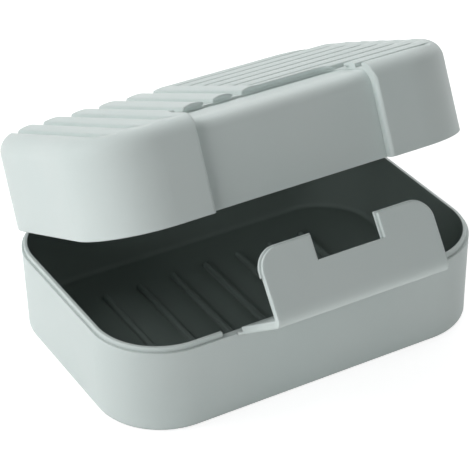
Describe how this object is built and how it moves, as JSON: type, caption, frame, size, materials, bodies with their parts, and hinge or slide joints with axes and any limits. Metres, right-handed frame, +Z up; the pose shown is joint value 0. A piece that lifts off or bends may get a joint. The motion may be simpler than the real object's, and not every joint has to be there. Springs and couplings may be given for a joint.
{
  "type": "travel soap box",
  "caption": "Rectangular travel soap box with round corners: a drained tub, a film-hinged lid with crossed ribs on top and a wide film-hinged latch strap at the front.",
  "frame": {"origin": "centre of the tub's flat underside", "axes": "+X along the long side to the right, +Y from the latch at the front to the lid hinge at the rear, +Z up out of the flat underside"},
  "size_m": [0.105, 0.0997, 0.0735],
  "materials": {
    "sage_body": "fine matt moulded polypropylene, pale sage",
    "sage_latch": "satin moulded polypropylene, pale sage",
    "sage_film": "thin flexed polypropylene film, slightly stress-whitened pale sage"
  },
  "bodies": {
    "base": {"base_tub": "sage_body", "lid_hinge_film": "sage_film", "latch_hinge_film": "sage_film"},
    "lid": {"lid_shell": "sage_body"},
    "latch": {"latch_strap": "sage_latch"}
  },
  "joints": [
    {"name": "lid_hinge", "type": "hinge", "parent": "base", "child": "lid", "pos_m": [0, 0.0371, 0.0232], "axis": [-1, 0, 0], "range_deg": [-24.3, 125.7], "deforming": ["lid_hinge_film"]},
    {"name": "latch_hinge", "type": "hinge", "parent": "base", "child": "latch", "pos_m": [0, -0.0363, 0.02287], "axis": [1, 0, 0], "range_deg": [-55.2, 90], "deforming": ["latch_hinge_film"]}
  ]
}
